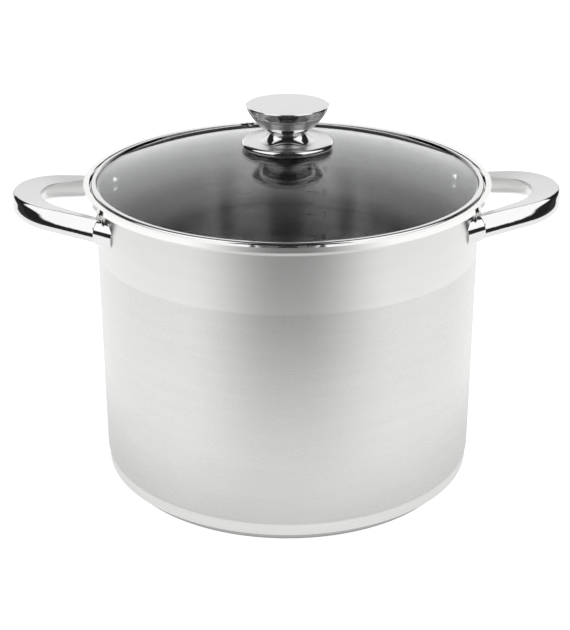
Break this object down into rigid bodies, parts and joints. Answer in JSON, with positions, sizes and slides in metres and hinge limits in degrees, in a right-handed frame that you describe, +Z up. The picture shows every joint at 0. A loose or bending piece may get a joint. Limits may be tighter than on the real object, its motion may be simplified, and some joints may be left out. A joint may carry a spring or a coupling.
{
  "type": "water bath canner",
  "caption": "Tall two-handled stainless steel pot for boiling-water canning, with a domed glass lid, a turned knob and a low wire jar rack.",
  "frame": {"origin": "middle of the face that the pot stands on", "axes": "+Z up, X through the two side handles, -Y is the front of the pot"},
  "size_m": [0.3754, 0.277, 0.2625],
  "materials": {
    "satin_steel": "satin, brushed around the wall",
    "polished_steel": "mirror polished",
    "aluminium": "plain, hidden in the base",
    "lid_glass": "clear tempered glass",
    "silicone": "translucent white silicone",
    "rack_wire": "bright plated wire"
  },
  "bodies": {
    "pot": {"pot_body": "satin_steel", "base_core": "aluminium", "base_cap": "polished_steel", "handle_left": "polished_steel", "handle_right": "polished_steel", "flange_left_back": "polished_steel", "flange_left_front": "polished_steel", "flange_right_back": "polished_steel", "flange_right_front": "polished_steel", "handle_rivets": "polished_steel"},
    "lid": {"lid_glass": "lid_glass", "lid_band": "polished_steel", "vent_grommet": "polished_steel", "knob_top": "polished_steel", "knob_base": "polished_steel", "knob_washer": "silicone", "inner_washer": "silicone", "steel_washer": "satin_steel", "knob_screw": "satin_steel"},
    "rack": {"rack_outer_ring": "rack_wire", "rack_inner_ring": "rack_wire", "rack_bars": "rack_wire", "rack_feet": "rack_wire"}
  },
  "joints": [
    {"name": "lid_lift", "type": "slide", "parent": "pot", "child": "lid", "axis": [0, 0, 1], "range_m": [0, 0.25]},
    {"name": "rack_lift", "type": "slide", "parent": "pot", "child": "rack", "axis": [0, 0, 1], "range_m": [0, 0.16]}
  ]
}
